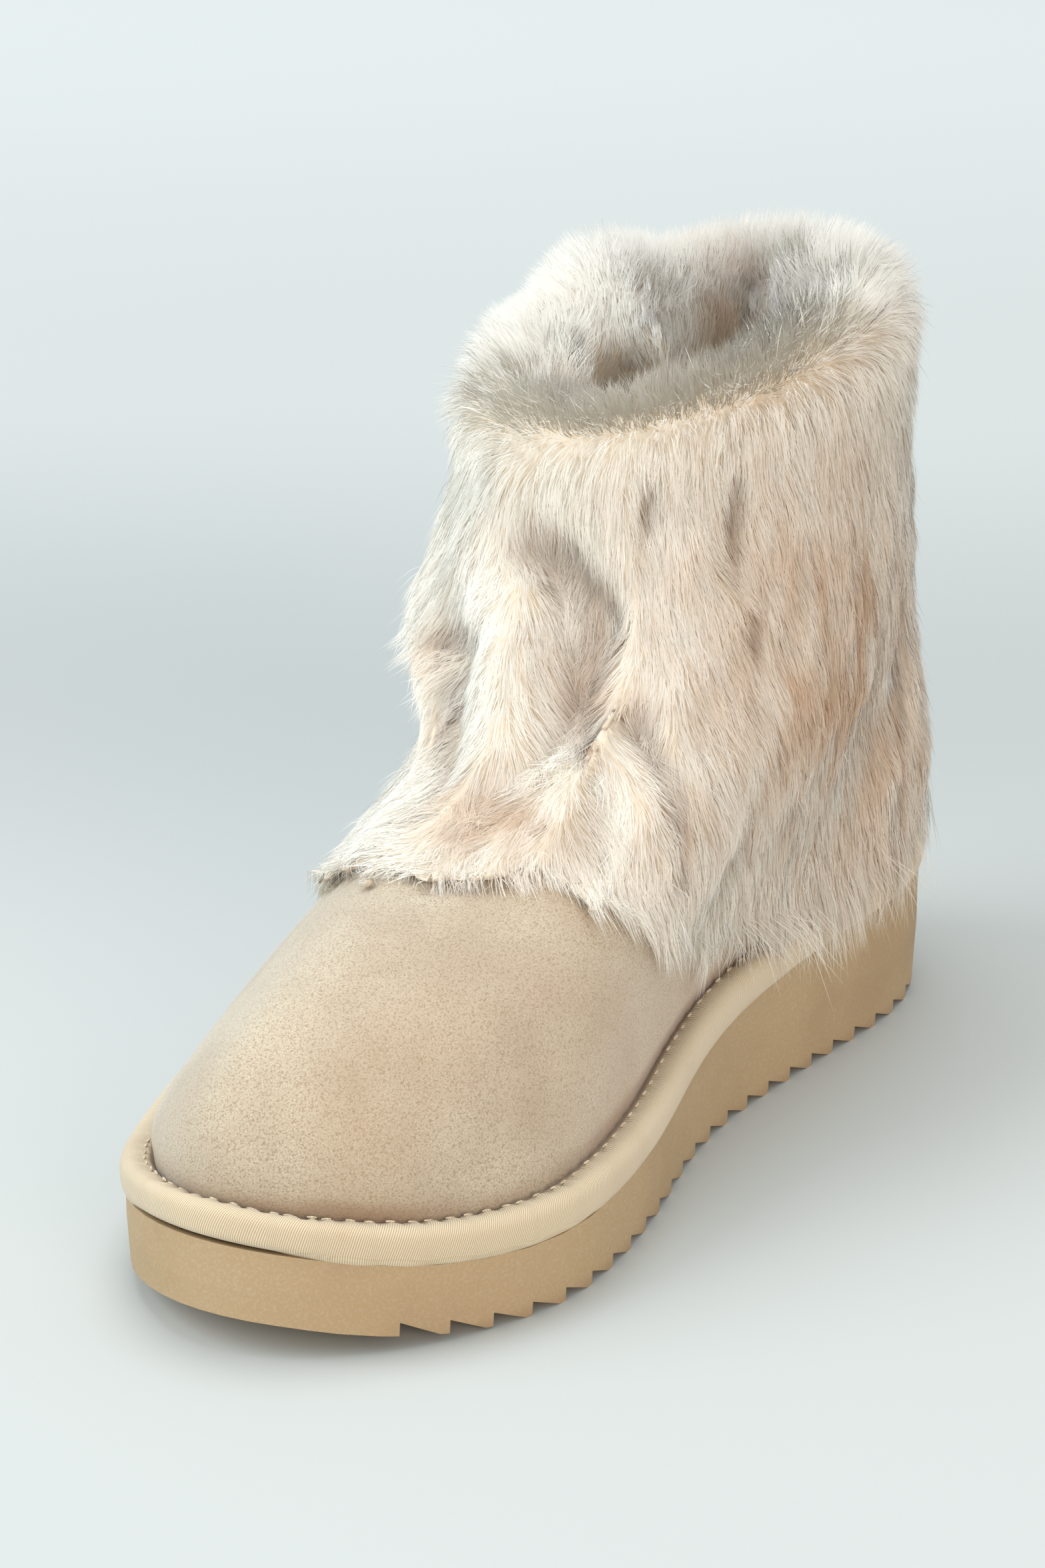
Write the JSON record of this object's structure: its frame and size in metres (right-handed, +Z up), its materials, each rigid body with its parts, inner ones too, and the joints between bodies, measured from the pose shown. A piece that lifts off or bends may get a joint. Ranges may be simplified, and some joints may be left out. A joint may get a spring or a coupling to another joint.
{
  "type": "sheepskin boot",
  "caption": "Short pull-on sheepskin boot for the right foot: suede upper, turned-down fur cuff, stitched edge tape and a foam wedge sole with sawtooth tread.",
  "frame": {"origin": "on the floor under the middle of the heel, in the flat of the heel pad", "axes": "+X to the toe, +Y to the inner side of the right foot, +Z up"},
  "size_m": [0.275, 0.1138, 0.1813],
  "materials": {
    "foam_sole": "matt closed-cell foam, tan",
    "edge_tape": "ribbed woven tape, cream khaki",
    "suede": "brushed suede nap, sand",
    "lining": "short fleece, cream",
    "fur": "long soft fur, cream with pale tan patches"
  },
  "bodies": {
    "root": {"outsole": "foam_sole", "wrapped_board": "edge_tape", "upper": "suede", "insole": "lining", "fur_cuff": "fur"}
  },
  "joints": []
}
